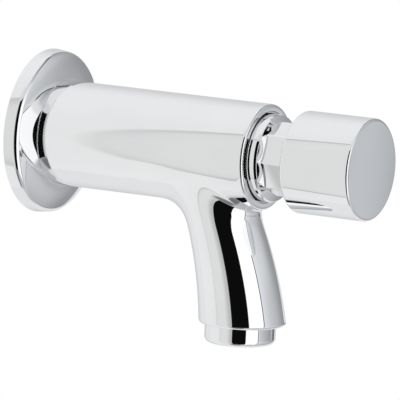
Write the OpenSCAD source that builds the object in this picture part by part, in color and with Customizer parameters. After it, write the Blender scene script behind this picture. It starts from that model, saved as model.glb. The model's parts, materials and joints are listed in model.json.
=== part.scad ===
// Push timed tap for wall mounting, in millimetres.
// The wall is the plane y = 0 and the tap stands out from it along -Y, with +Z up.
// The origin is on the inlet axis, at the wall. A length "from the wall" runs along -Y.

/* [Wall rose] */
// Diameter of the rose at the wall
rose_d = 56.4; // [52:0.2:62]
// Height of the rose's straight rim
rose_rim = 3.6; // [3:0.1:4.2]
// Lean of the rim towards the axis, in degrees
rose_taper = 7; // [4:0.5:12]
// Rounding between the rim and the rose's face
rose_edge = 2.3; // [2:0.1:2.6]
// Height of the rose, where the body's rear end sits
rose_h = 7.3; // [7:0.1:8.4]
// Thickness of the rose's sheet
rose_wall = 1.5; // [1:0.1:1.8]

/* [Body] */
// Diameter of the body tube
body_d = 36; // [34.6:0.1:38]
// Length of the body tube
body_len = 80.1; // [77:0.1:90]
// Rounding of the tube's front edge
body_edge = 1.1; // [0.4:0.1:1.2]
// Width of the tube's front ring
front_ring = 2.5; // [2:0.1:2.8]
// Depth of the recess behind the front ring
front_recess = 1.9; // [1.2:0.1:3]

/* [Spout] */
// Drop from the inlet axis to the spout's lip
spout_drop = 57.5; // [52:0.5:70]
// Distance from the front of the tube to the spout's middle at its root
root_back = 18; // [16.5:0.1:20]
// How far the lip stands forward of the root
lip_forward = 10.9; // [8:0.1:13]
// How far the spout's middle line bows forward
spout_bow = 1.6; // [0:0.1:2.2]
// Diameter of the spout at its root
root_d = 25.3; // [24:0.1:26]
// Diameter of the spout at its lip
lip_d = 29.8; // [29:0.1:32]
// Rounding of the lip
lip_edge = 1.3; // [0.5:0.1:1.6]
// Reach of the blend along the tube on the wall side
blend_rear = 9; // [6:0.5:12]
// Reach of the blend round the tube on the two sides
blend_side = 3.4; // [2.4:0.1:3.8]
// Reach of the blend along the tube at the front
blend_front = 3.9; // [2.4:0.1:4.1]
// Reach of the blend down the spout
blend_drop = 9.5; // [7:0.5:12]
// Diameter of the waterway in the spout
waterway_d = 15; // [12:0.5:16]

/* [Outlet] */
// Diameter of the aerator's collar
aerator_d = 24.2; // [23.6:0.1:25.4]
// Height of the aerator's collar
aerator_h = 6.5; // [5.5:0.1:8]
// Rounding of the collar's lower edge
aerator_edge = 1.9; // [0.6:0.1:2.2]
// Diameter of the outlet thread
outlet_d = 22; // [21:0.1:22.4]
// Length of the outlet thread
outlet_len = 7; // [6:0.1:9]
// How far the outlet's axis stands behind the middle of the lip
outlet_back = 0.7; // [0:0.1:1]
// Diameter of the jets in the diffuser
jet_d = 1.9; // [1.4:0.1:2]

/* [Inlet] */
// Diameter of the inlet thread, G1/2
inlet_d = 20.955; // [20.5:0.005:21]
// Length of the inlet thread behind the wall
inlet_len = 10; // [9:0.5:20]
// How far the inlet thread runs on in front of the wall
thread_past = 1.5; // [0.5:0.1:1.6]
// Width of the run-out groove next to the thread
runout = 2.6; // [2:0.1:2.8]
// Diameter of the inlet bore
inlet_bore = 12; // [10:0.2:12.6]
// Hexagon socket in the nipple's rear end, across flats
socket_af = 12; // [11:0.1:13]

/* [Bonnet] */
// Diameter of the bonnet's thread
bonnet_d = 28; // [27.6:0.1:28.4]
// Length of the bonnet's thread
bonnet_thread = 11.5; // [10:0.5:13]
// Diameter of the bonnet's collar
collar_d = 30; // [29.6:0.1:30.4]
// Gap between the collar and the tube's front ring
collar_gap = 0.5; // [0.3:0.1:1]
// Height of the collar
collar_h = 5.5; // [4.8:0.1:6.4]
// Slope of the collar's front face, in degrees
collar_slope = 15; // [10:1:18]
// Width of the bonnet's octagon across flats
octagon_af = 23.5; // [22.8:0.1:24.6]
// Height of the octagon with its neck
octagon_h = 12; // [11:0.1:14]
// Diameter of the timing cylinder
cylinder_d = 19; // [18.6:0.1:19.4]

/* [Button] */
// Diameter of the button
button_d = 34.6; // [34.2:0.1:37]
// Length of the button
button_len = 26; // [24:0.1:30]
// Gap between the front of the tube and the button
button_gap = 13.7; // [12.7:0.1:14.6]
// Thickness of the button's side wall
button_wall = 1.8; // [1.4:0.1:1.9]
// Thickness of the button's face
button_face = 2.8; // [2:0.1:3.2]
// Rounding of the button's front edge
button_edge = 1; // [0.4:0.1:1.8]

/* [Mechanism] */
// Travel of the button
travel = 7; // [5:0.1:7.2]
// Diameter of the stem
stem_d = 8; // [7:0.1:8.4]
// Length of the slotted cage
cage_len = 35; // [30:0.5:36]
// Thickness of the valve seat
seat_t = 5; // [4:0.1:6]
// Diameter of the hole in the valve seat
seat_hole = 11; // [10:0.1:11.4]
// Height of the seat's lip
seat_lip = 1.5; // [1:0.1:1.8]
// Length of the piston
piston_len = 14.5; // [13.5:0.1:15]
// Wire of the return spring
wire_d = 1.4; // [1:0.1:1.6]
// Turns of the return spring
turns = 9; // [7:1:10]

/* [Hidden] */
$fn = 96;
// Clearances: two threads or turned fits, a seal in its groove, a sliding fit, and faces at rest
c_fit = 0.05;
c_seal = 0.03;
c_slide = 0.1;
c_rest = 0.05;
c_stop = 0.3;
// Thin slack by which a cut runs past the face that it opens
slack = 0.5;

// Stations along the axis, from the wall
body_r = body_d / 2;
s_rear = rose_h;
s_front = s_rear + body_len;
s_shoulder = s_front - front_recess;
s_thread = s_shoulder - bonnet_thread;
s_seat1 = s_thread - cage_len;
s_seat0 = s_seat1 - seat_t;
s_lip = s_seat0 - seat_lip;
s_collar1 = s_shoulder + collar_h;
octagon_bevel = 1.3;
s_octagon1 = s_collar1 + octagon_h;
s_bonnet1 = s_octagon1 + 2.5;

// Bores of the body, and the front ring round the recess for the bonnet's collar
recess_r = collar_d / 2 + collar_gap;
ring_r = recess_r + front_ring;
thread_r = bonnet_d / 2;
chamber_r = thread_r - 1;
inlet_r = inlet_d / 2;
inner_r = 8.2;

// Valve, from the seat back towards the wall
washer_t = 2.8;
holder_t = 3.25;
holder_web = 1.7;
valve_nut_t = 3.5;
s_valve = s_lip - c_rest;
s_washer0 = s_valve - washer_t;
s_holder0 = s_washer0 - holder_web;
s_nut0 = s_holder0 - valve_nut_t;
s_tail = s_nut0 - 0.5;
tail_r = 2.5;
stem_r = stem_d / 2;
washer_r = 7;
holder_r = 7.6;
valve_nut_af = 8;
seat_ring_r = 1;
seat_groove = 2 * seat_ring_r + 0.4;
lip_w = 1.3;
lip_round = 0.3;

// Inlet nipple: its front end stays clear of the stem's tail at full travel
nipple_seal_t = 1.5;
s_nipple1 = s_tail - travel - 0.2;
s_step = s_nipple1 + nipple_seal_t;
nipple_r = inlet_r - c_fit;
pocket_r = 8;
pocket_depth = 3;
socket_depth = 8;
runout_depth = 1.2;
nose = 1;

// Rose: a flat under the tube's end, then one wide arc that runs into the edge's smaller arc
rose_flat = body_r - 1;
edge_mid = [rose_d / 2 - rose_rim * tan(rose_taper) - rose_edge * cos(rose_taper),
    rose_rim - rose_edge * sin(rose_taper)];
crown_out = edge_mid.x - rose_flat;
crown_up = rose_h - edge_mid.y;
crown_r = (pow(crown_out, 2) + pow(crown_up, 2) - pow(rose_edge, 2)) / (2 * (crown_up - rose_edge));
crown_mid = [rose_flat, rose_h - crown_r];
crown_dir = (edge_mid - crown_mid) / norm(edge_mid - crown_mid);
rose_hole_r = inlet_r + 0.6;
rose_ring_r = 1.2;

// Bonnet and gland
cyl_r = cylinder_d / 2;
gland_web = 1.5;
gland_r = 6.5;
stem_ring_t = 1.8;
bush_t = 4.3;
clip_t = 0.8;
s_gland0 = s_bonnet1 - 7.5;
s_web = s_gland0 - gland_web;
s_bush0 = s_gland0 + stem_ring_t + 2 * c_fit;
s_clip0 = s_bush0 + bush_t + c_fit;
gland_wall = 2.5;
bonnet_ring_r = 0.8;
ring_groove_r = collar_d / 2 - 2 * bonnet_ring_r - c_fit;
collar_bevel = 0.9;
octagon_in = octagon_af / 2 - 0.2;
octagon_corner = octagon_af / 2 / cos(22.5) + 0.1;
collar_edge_r = (collar_d - collar_bevel) / 2;
collar_rise = (collar_edge_r - octagon_in) * tan(collar_slope);

// Button
button_r = button_d / 2;
button_in = button_r - button_wall;
s_button0 = s_front + button_gap;
s_button1 = s_button0 + button_len;
s_face = s_button1 - button_face;
hub_r = 6.5;
lock_nut_t = 4.4;
lock_nut_af = 10;
s_shoulder_nut = s_bonnet1 + travel + 0.6;
s_hub = s_shoulder_nut + lock_nut_t + c_fit;
pilot_r = 3;
s_stem1 = s_face - 1.6;

// Piston, held between a collar on the stem and a clip
piston_clip_t = 1;
s_piston1 = s_web - c_stop - piston_clip_t;
s_piston0 = s_piston1 - piston_len;
piston_r = cyl_r - 0.2;
stem_collar_t = 2;
stem_collar_r = stem_r + 1.2;
lip_groove_w = 3.4;
lip_groove_r = piston_r - 2;
s_lip_groove = s_piston1 - 2 - lip_groove_w;
piston_cup_r = 8.4;
piston_cup = 5;

// Cage
cage_r1 = chamber_r - 0.2;
cage_r0 = chamber_r - 2.5;
slot_w = 9;
slot_end = 5;

// Return spring, between its washer and the bottom of the piston's cup
spring_washer_t = 1;
spring_r = 7.3;
s_spring0 = s_seat1 + spring_washer_t + c_rest;
s_spring1 = s_piston0 + piston_cup - c_rest;
wire_r = wire_d / 2;
dead_pitch = wire_d + 0.6;
spring_rise = s_spring1 - s_spring0 - wire_d;
live_pitch = (spring_rise - 2 * dead_pitch) / (turns - 2);
spring_rings = 12;
spring_sides = 6;

// Spout
z_tube = -body_r;
z_lip = -spout_drop;
s_root = s_front - root_back;
s_lipmid = s_root + lip_forward;
s_outlet = s_lipmid - outlet_back;
sides = 48;
wall_rings = 14;
blend_rings = 9;
edge_rings = 4;
// The blend ends just under the tube's skin, so the two surfaces cross
skin = 0.15;
skin_r = body_r - skin;
z_cap = -3;

// Outlet
outlet_r = outlet_d / 2;
aerator_seal_t = 1.5;
z_shell1 = z_lip + outlet_len;
z_outlet = z_shell1 + aerator_seal_t + c_fit;
z_shell0 = z_lip - aerator_h;
shell_in = outlet_r - 1.3;
ledge_t = 1;
ledge_r = shell_in - 0.9;
diffuser_h = 6;
screen_t = 0.6;
jet_pitch = 2.5;

// Finishes
chrome = [0.84, 0.86, 0.88];
brass = [0.80, 0.66, 0.36];
steel = [0.66, 0.68, 0.70];
rubber = [0.12, 0.12, 0.13];
white_plastic = [0.90, 0.90, 0.88];
grey_plastic = [0.45, 0.47, 0.50];

// Middle line and radius of the spout at a height: a quadratic from root to lip
function down(z) = (z_tube - z) / (z_tube - z_lip);
function mid_s(z) = let (u = down(z))
    s_root + lip_forward * u + 4 * spout_bow * u * (1 - u);
function mid_r(z) = root_d / 2 + (lip_d - root_d) / 2 * down(z);
function spout_wall(a, z) = [mid_r(z) * sin(a), mid_s(z) + mid_r(z) * cos(a), z];
function slope(a, z) = (spout_wall(a, z + 0.01) - spout_wall(a, z - 0.01)) / 0.02;

// Reach of the blend on the tube at an angle, 0 to the front and 180 to the wall
function blend(a) = blend_side
    + (blend_rear - blend_side) * pow(max(0, -cos(a)), 2)
    + (blend_front - blend_side) * pow(max(0, cos(a)), 2);

// The blend lands on the tube, leaves the spout's wall lower down, and is drawn towards
// the point where the wall's own line meets the tube's tangent plane
function tube_z(x) = -sqrt(pow(skin_r, 2) - x * x);
function landing(a) = let (r = root_d / 2 + blend(a), x = r * sin(a))
    [x, s_root + r * cos(a), tube_z(x)];
function leave_z(a) = tube_z(root_d / 2 * sin(a)) - blend_drop;
function corner(a) = let (z = leave_z(a), w = spout_wall(a, z), d = slope(a, z), l = landing(a),
        t = (pow(skin_r, 2) - w.x * l.x - w.z * l.z) / (d.x * l.x + d.z * l.z))
    w + t * d;
function bezier(p, q, r, t) = (1 - t) * (1 - t) * p + 2 * t * (1 - t) * q + t * t * r;

// One ring of the spout, counted up from the lip: rounded lip, wall, blend, then a cap in the tube
function rim_point(a, i) = let (t = 90 * i / edge_rings, z = z_lip + lip_edge * (1 - cos(t)),
        r = mid_r(z_lip) - lip_edge * (1 - sin(t)))
    [r * sin(a), s_lipmid + r * cos(a), z];
function wall_point(a, i) = let (z0 = z_lip + lip_edge, z1 = leave_z(a))
    spout_wall(a, z0 + (z1 - z0) * i / wall_rings);
function blend_point(a, i) = bezier(spout_wall(a, leave_z(a)), corner(a), landing(a), i / blend_rings);
function cap_point(a) = let (l = landing(a)) [l.x * 0.97, s_root + (l.y - s_root) * 0.97, z_cap];
ring_count = edge_rings + wall_rings + blend_rings + 1;
function ring_point(a, j) =
    j < edge_rings ? rim_point(a, j)
    : j < edge_rings + wall_rings ? wall_point(a, j - edge_rings)
    : j < ring_count ? blend_point(a, j - edge_rings - wall_rings)
    : cap_point(a);

// Skin of a closed tube of rings with n points each
function skin_faces(n, m) = concat(
    [for (j = [0 : m - 2], i = [0 : n - 1]) [j * n + i, (j + 1) * n + i, (j + 1) * n + (i + 1) % n]],
    [for (j = [0 : m - 2], i = [0 : n - 1]) [j * n + i, (j + 1) * n + (i + 1) % n, j * n + (i + 1) % n]],
    [[for (i = [0 : n - 1]) i]],
    [[for (i = [n - 1 : -1 : 0]) (m - 1) * n + i]]);

// Height of the spring's wire after a number of turns, with one close turn at each end
function coil_s(u) = s_spring0 + wire_r
    + (u < 1 ? dead_pitch * u
    : u < turns - 1 ? dead_pitch + live_pitch * (u - 1)
    : dead_pitch + live_pitch * (turns - 2) + dead_pitch * (u - turns + 1));
function coil_point(k, i) = let (u = k / spring_rings, b = 360 * u, c = 360 * i / spring_sides,
        r = spring_r + wire_r * cos(c))
    [r * cos(b), r * sin(b), coil_s(u) + wire_r * sin(c)];
coil_rings = turns * spring_rings + 1;
coil_gap = min([for (k = [0 : coil_rings - spring_rings - 1], i = [0 : spring_sides - 1],
        j = [0 : spring_sides - 1])
    norm(coil_point(k, i) - coil_point(k + spring_rings, j))]);
echo(least_gap_between_coils = coil_gap);

// Turned shapes are drawn as radius and distance from the wall
module along() { rotate([90, 0, 0]) children(); }
module turned() { along() rotate_extrude() children(); }
module upright(s) { translate([0, -s, 0]) rotate_extrude() children(); }

// A rectangle between two radii and two stations
module band(r0, r1, s0, s1) { translate([r0, s0]) square([r1 - r0, s1 - s0]); }

// What a rounded outer corner takes away, with its arc centred on the origin
module off_corner(r) {
    difference() {
        square(r + slack);
        circle(r);
    }
}

// Round section of an O-ring
module ring_section(mid_radius, s, r) { translate([mid_radius, s]) circle(r, $fn = 32); }

// Prism with flats on the axis, with a corner to the side
module flats(count, af, s0, s1) {
    along() translate([0, 0, s0]) cylinder(d = af / cos(180 / count), h = s1 - s0, $fn = count);
}

// Plain pin on the axis
module pin(r, s0, s1) { along() translate([0, 0, s0]) cylinder(r = r, h = s1 - s0); }

module spout_skin() {
    points = [for (j = [0 : ring_count], i = [0 : sides - 1])
        let (p = ring_point(360 * i / sides, j)) [p.x, -p.y, p.z]];
    polyhedron(points, skin_faces(sides, ring_count + 1), convexity = 4);
}

module tap_body() {
    color(chrome)
    difference() {
        union() {
            turned() difference() {
                union() {
                    band(0, body_r, s_rear, s_front - body_edge);
                    band(0, ring_r, s_front - body_edge - slack, s_front);
                }
                translate([ring_r - body_edge, s_front - body_edge]) off_corner(body_edge);
            }
            spout_skin();
        }
        pin(inlet_r, s_rear - slack, s_step);
        pin(inner_r, s_step - slack, s_seat0 + slack);
        pin(chamber_r, s_seat0, s_thread + slack);
        pin(thread_r, s_thread, s_shoulder + slack);
        pin(recess_r, s_shoulder, s_front + slack);
        waterway();
        translate([0, -s_outlet, z_lip - slack]) cylinder(r = outlet_r, h = z_outlet - z_lip + slack);
    }
}

// Straight bore from the chamber to the outlet, leaning with the spout
module waterway() {
    rise = -chamber_r / 2 - z_outlet;
    run = s_outlet - (s_root - 2);
    lean = atan2(run, rise);
    over = outlet_len / 2;
    translate([0, -s_outlet, z_outlet])
        rotate([-lean, 0, 0])
            translate([0, 0, -over])
                cylinder(d = waterway_d, h = norm([run, rise]) + over);
}

module wall_rose() {
    color(chrome)
    turned() difference() {
        rose_outline(0, 0);
        rose_outline(rose_wall, -slack);
        band(-slack, rose_hole_r, -slack, rose_h + slack);
    }
}

// Half outline of the rose, or of its hollow when it is drawn in by a wall, from a low station up
module rose_outline(wall, low) {
    edge_r = rose_edge - wall;
    rim_end = edge_mid + edge_r * [cos(rose_taper), sin(rose_taper)];
    polygon([[0, low], [rim_end.x + (rim_end.y - low) * tan(rose_taper), low], rim_end, edge_mid,
        edge_mid + edge_r * crown_dir, [rose_flat, rose_h - wall], [0, rose_h - wall]]);
    intersection() {
        union() {
            translate(edge_mid) circle(edge_r);
            intersection() {
                translate(crown_mid) circle(crown_r - wall, $fn = 180);
                polygon([crown_mid, crown_mid + 2 * crown_r * crown_dir, crown_mid + [0, 2 * crown_r]]);
            }
        }
        band(0, rose_d, low, rose_h);
    }
}

module rose_ring() {
    color(rubber)
    turned() ring_section(nipple_r + rose_ring_r + c_seal,
        rose_h - rose_wall - rose_ring_r - c_seal, rose_ring_r);
}

module inlet_nipple() {
    color(brass)
    difference() {
        turned() difference() {
            union() {
                band(0, inlet_r, -inlet_len, thread_past);
                band(0, inlet_r - runout_depth, thread_past - slack, thread_past + runout + slack);
                band(0, nipple_r, thread_past + runout, s_nipple1);
            }
            polygon([[inlet_r - nose, -inlet_len], [inlet_r + nose, -inlet_len - nose],
                [inlet_r + nose, -inlet_len + 2 * nose]]);
        }
        pin(inlet_bore / 2, -inlet_len - slack, s_nipple1 + slack);
        pin(pocket_r, s_nipple1 - pocket_depth, s_nipple1 + slack);
        flats(6, socket_af, -inlet_len - slack, -inlet_len + socket_depth);
    }
}

module nipple_seal() {
    color(rubber)
    turned() band(inner_r - 0.8, inlet_r - c_slide, s_nipple1, s_step);
}

module strainer_frame() {
    color(white_plastic)
    turned() difference() {
        band(inlet_bore / 2 + 0.3, pocket_r - c_fit, s_nipple1 - pocket_depth, s_nipple1 - 1);
        band(0, inlet_bore / 2 + 1, s_nipple1 - pocket_depth + 0.8, s_nipple1 - pocket_depth + 1.4);
    }
}

module strainer_mesh() {
    color(steel)
    turned() band(0, inlet_bore / 2 + 1 - c_fit, s_nipple1 - pocket_depth + 0.85,
        s_nipple1 - pocket_depth + 1.35);
}

module valve_seat() {
    color(brass)
    turned() difference() {
        union() {
            band(seat_hole / 2, chamber_r - c_slide, s_seat0, s_seat1);
            band(seat_hole / 2, seat_hole / 2 + lip_w, s_lip, s_seat0 + slack);
        }
        band(chamber_r - 2 * seat_ring_r - 2 * c_fit, chamber_r + slack,
            s_seat0 + seat_t / 2 - seat_groove / 2, s_seat0 + seat_t / 2 + seat_groove / 2);
        translate([seat_hole / 2 + lip_w - lip_round, s_lip + lip_round])
            mirror([0, 1]) off_corner(lip_round);
    }
}

module seat_ring() {
    color(rubber)
    turned() ring_section(chamber_r - seat_ring_r - c_seal, s_seat0 + seat_t / 2, seat_ring_r);
}

module cage() {
    color(white_plastic)
    difference() {
        turned() band(cage_r0, cage_r1, s_seat1, s_thread);
        for (a = [0, 90]) {
            along() rotate(a) translate([-slot_w / 2, -cage_r1 - slack, s_seat1 + slot_end])
                cube([slot_w, 2 * cage_r1 + 2 * slack, cage_len - 2 * slot_end]);
        }
    }
}

module spring_washer() {
    color(steel)
    turned() band(seat_hole / 2 + 0.3, cage_r0 - c_stop, s_seat1, s_seat1 + spring_washer_t);
}

module bonnet() {
    color(chrome)
    difference() {
        union() {
            turned() difference() {
                union() {
                    band(0, thread_r - c_fit, s_thread, s_shoulder + slack);
                    polygon([[0, s_shoulder], [collar_d / 2, s_shoulder],
                        [collar_d / 2, s_collar1 - collar_bevel], [collar_edge_r, s_collar1],
                        [octagon_in, s_collar1 + collar_rise], [0, s_collar1 + collar_rise]]);
                }
                band(ring_groove_r, collar_d, s_shoulder - slack, s_shoulder + 2 * bonnet_ring_r + c_fit);
            }
            intersection() {
                flats(8, octagon_af, s_collar1 - slack, s_octagon1);
                turned() polygon([[0, s_collar1 - slack], [octagon_corner, s_collar1 - slack],
                    [octagon_corner, s_octagon1 - octagon_bevel], [octagon_in, s_octagon1], [0, s_octagon1]]);
            }
            pin(gland_r + gland_wall, s_collar1, s_bonnet1);
        }
        pin(cyl_r, s_thread - slack, s_web);
        pin(stem_r + 0.3, s_web - slack, s_gland0 + slack);
        pin(gland_r, s_gland0, s_bonnet1 + slack);
        pin(gland_r + 0.6, s_clip0 - c_fit, s_clip0 + clip_t + c_fit);
    }
}

module bonnet_ring() {
    color(rubber)
    turned() ring_section(ring_groove_r + bonnet_ring_r + c_seal,
        s_shoulder + bonnet_ring_r, bonnet_ring_r);
}

module stem_ring() {
    color(rubber)
    turned() ring_section(stem_r + c_fit + stem_ring_t / 2,
        s_gland0 + c_fit + stem_ring_t / 2, stem_ring_t / 2);
}

module gland_bush() {
    color(grey_plastic)
    turned() band(stem_r + c_fit, gland_r - c_fit, s_bush0, s_bush0 + bush_t);
}

// Spring clip for a groove in a bore, with an opening between its two eyes
module gland_clip() {
    color(steel)
    difference() {
        turned() band(gland_r - 1.3, gland_r + 0.5, s_clip0, s_clip0 + clip_t);
        along() translate([-1.2, 0, s_clip0 - slack]) cube([2.4, 2 * gland_r, clip_t + 2 * slack]);
    }
}

module aerator_shell() {
    color(chrome)
    upright(s_outlet) difference() {
        union() {
            band(shell_in, outlet_r - c_fit, z_lip - slack, z_shell1);
            band(ledge_r, aerator_d / 2, z_shell0, z_lip);
        }
        band(0, shell_in, z_shell0 + ledge_t, z_shell1 + slack);
        translate([aerator_d / 2 - aerator_edge, z_shell0 + aerator_edge])
            mirror([0, 1]) off_corner(aerator_edge);
    }
}

module aerator_diffuser() {
    color(white_plastic)
    translate([0, -s_outlet, z_shell0 + ledge_t])
    difference() {
        cylinder(r = shell_in - c_fit, h = diffuser_h);
        translate([0, 0, 2]) cylinder(r = shell_in - 1.1, h = diffuser_h);
        for (q = [-3 : 3], w = [max(-3, -3 - q) : min(3, 3 - q)]) {
            translate([jet_pitch * (q + w / 2), jet_pitch * w * sin(60), -slack])
                cylinder(d = jet_d, h = 3, $fn = 24);
        }
    }
}

module aerator_screen() {
    color(steel)
    translate([0, -s_outlet, z_shell0 + ledge_t + diffuser_h])
        cylinder(r = shell_in - c_fit, h = screen_t);
}

module aerator_seal() {
    color(rubber)
    upright(s_outlet) band(shell_in - 1.5, outlet_r - c_slide, z_shell1, z_shell1 + aerator_seal_t);
}

module push_button() {
    color(chrome)
    difference() {
        turned() difference() {
            band(0, button_r, s_button0, s_button1);
            band(hub_r, button_in, s_button0 - slack, s_face);
            band(-slack, hub_r + slack, s_button0 - slack, s_hub);
            translate([button_r - button_edge, s_button1 - button_edge]) off_corner(button_edge);
        }
        pin(pilot_r, s_hub - slack, s_stem1 + 0.4);
    }
}

module stem() {
    color(steel)
    difference() {
        turned() union() {
            band(0, tail_r, s_tail, s_valve + slack);
            band(0, stem_r, s_valve, s_shoulder_nut);
            band(0, stem_collar_r, s_piston0 + piston_cup - stem_collar_t, s_piston0 + piston_cup);
            band(0, pilot_r - c_fit, s_shoulder_nut - slack, s_stem1);
        }
        turned() band(stem_r - 0.8, stem_r + slack, s_piston1, s_piston1 + piston_clip_t);
    }
}

module lock_nut() {
    color(steel)
    difference() {
        flats(6, lock_nut_af, s_shoulder_nut, s_shoulder_nut + lock_nut_t);
        pin(pilot_r, s_shoulder_nut - slack, s_shoulder_nut + lock_nut_t + slack);
    }
}

module piston() {
    color(white_plastic)
    turned() difference() {
        band(stem_r + c_fit, piston_r, s_piston0, s_piston1);
        band(0, piston_cup_r, s_piston0 - slack, s_piston0 + piston_cup);
        band(lip_groove_r, piston_r + slack, s_lip_groove, s_lip_groove + lip_groove_w);
    }
}

// Cup seal: a ring in the groove with a lip that leans out towards the valve
module lip_seal() {
    color(rubber)
    turned() polygon([[lip_groove_r + c_seal, s_lip_groove + 0.3],
        [lip_groove_r + c_seal, s_lip_groove + lip_groove_w - 0.1],
        [piston_r - 0.1, s_lip_groove + lip_groove_w - 0.1],
        [cyl_r - c_fit, s_lip_groove + 0.4],
        [cyl_r - c_fit - 0.6, s_lip_groove + 0.1],
        [lip_groove_r + 1, s_lip_groove + 1.9]]);
}

module piston_clip() {
    color(steel)
    difference() {
        turned() band(stem_r - 0.8 + c_fit, stem_r + 2.2, s_piston1, s_piston1 + piston_clip_t);
        along() translate([-stem_r + 1.4, 0, s_piston1 - slack])
            cube([2 * stem_r - 2.8, 3 * stem_r, piston_clip_t + 2 * slack]);
    }
}

module valve_holder() {
    color(brass)
    turned() difference() {
        band(tail_r + c_fit, holder_r, s_holder0, s_holder0 + holder_t);
        band(0, washer_r + c_fit, s_washer0, s_valve + slack);
    }
}

module valve_washer() {
    color(rubber)
    turned() band(tail_r + c_fit, washer_r, s_washer0, s_valve);
}

module valve_nut() {
    color(brass)
    difference() {
        flats(6, valve_nut_af, s_nut0, s_holder0);
        pin(tail_r + c_fit, s_nut0 - slack, s_holder0 + slack);
    }
}

module return_spring() {
    color(steel)
    along() polyhedron([for (k = [0 : coil_rings - 1], i = [0 : spring_sides - 1]) coil_point(k, i)],
        skin_faces(spring_sides, coil_rings), convexity = 20);
}

tap_body();
wall_rose();
rose_ring();
inlet_nipple();
nipple_seal();
strainer_frame();
strainer_mesh();
valve_seat();
seat_ring();
cage();
spring_washer();
bonnet();
bonnet_ring();
stem_ring();
gland_bush();
gland_clip();
aerator_shell();
aerator_diffuser();
aerator_screen();
aerator_seal();
push_button();
stem();
lock_nut();
piston();
lip_seal();
piston_clip();
valve_holder();
valve_washer();
valve_nut();
return_spring();
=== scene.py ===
# %% [markdown]
# # A push timed tap, dressed in Blender
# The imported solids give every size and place, so this lesson only adds what the eye sees: smooth
# chrome skins, a cut thread, a wound spring, a woven strainer, and the finishes.
# All lengths are written in millimetres, as on a drawing, and turned into metres by one factor.

# %% Load the frame
import json
import math

import bpy
from mathutils import Matrix, Vector


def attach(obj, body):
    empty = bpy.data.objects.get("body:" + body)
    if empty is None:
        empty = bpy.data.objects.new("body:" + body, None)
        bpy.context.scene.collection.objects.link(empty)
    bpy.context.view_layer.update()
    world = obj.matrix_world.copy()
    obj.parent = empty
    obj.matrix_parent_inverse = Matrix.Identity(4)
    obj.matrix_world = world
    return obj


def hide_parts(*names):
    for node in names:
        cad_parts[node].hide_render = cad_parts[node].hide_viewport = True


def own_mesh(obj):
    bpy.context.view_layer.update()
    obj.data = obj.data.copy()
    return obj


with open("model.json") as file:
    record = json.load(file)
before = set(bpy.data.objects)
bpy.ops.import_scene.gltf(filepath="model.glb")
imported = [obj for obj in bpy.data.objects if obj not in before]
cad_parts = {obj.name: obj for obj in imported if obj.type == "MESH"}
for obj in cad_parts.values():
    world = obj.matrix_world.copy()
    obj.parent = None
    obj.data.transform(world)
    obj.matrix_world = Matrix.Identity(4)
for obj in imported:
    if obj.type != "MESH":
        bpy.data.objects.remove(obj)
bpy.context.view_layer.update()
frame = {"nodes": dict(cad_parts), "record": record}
MM = 0.001

# %% [markdown]
# ## Camera
# The picture was taken from far off with a long lens, a little above the tap and from its left.
# The tap stands out from the wall along -Y, so the camera looks at it from -X and -Y. The picture
# is tipped by a small roll, and the tap isn't in the middle, which the lens shift gives.

# %% Camera
VIEW_TURN, VIEW_RISE, VIEW_ROLL = math.radians(-60.496), math.radians(8.365), math.radians(2.5)
VIEW_DISTANCE = 1.9
view_target = Vector((0, -65, -10)) * MM
back = Vector((math.sin(VIEW_TURN) * math.cos(VIEW_RISE),
               -math.cos(VIEW_TURN) * math.cos(VIEW_RISE), math.sin(VIEW_RISE)))
level_right = Vector((math.cos(VIEW_TURN), math.sin(VIEW_TURN), 0))
level_up = back.cross(level_right)
right = level_right * math.cos(VIEW_ROLL) + level_up * math.sin(VIEW_ROLL)
up = level_up * math.cos(VIEW_ROLL) - level_right * math.sin(VIEW_ROLL)
bpy.ops.object.select_all(action="DESELECT")
bpy.ops.object.camera_add()
camera = bpy.context.object
camera.matrix_world = Matrix((right, up, back)).transposed().to_4x4()
camera.location = view_target + back * VIEW_DISTANCE
camera.data.sensor_width = 36
camera.data.lens = 505.6
camera.data.shift_x, camera.data.shift_y = -0.0230, -0.0511
camera.data.clip_end = 50
bpy.context.scene.camera = camera
print("camera at", [round(v, 3) for v in camera.location])

# %% [markdown]
# ## Turning a profile on the lathe
# Most parts of a tap are turned, so each starts as half a section: one point, extruded from corner
# to corner. A corner that is rounded on the real part is bevelled as a point, which draws an arc.
# Spin then sweeps the profile round, and the seam is merged so that the skin is closed.

# %% Helpers for a turned piece
SAME_POINT = 0.001 * MM


def pick_points(piece, test):
    """Selects the points of the piece being edited that pass a test of their place."""
    bpy.ops.mesh.select_mode(type="VERT")
    bpy.ops.mesh.select_all(action="DESELECT")
    bpy.ops.object.mode_set(mode="OBJECT")
    for vertex in piece.data.vertices:
        vertex.select = test(vertex.co)
    bpy.ops.object.mode_set(mode="EDIT")


def on_axis(radius, station):
    """A point of a part turned on the tap's axis, so far from the axis and from the wall."""
    return Vector((radius, -station, 0)) * MM


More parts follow.
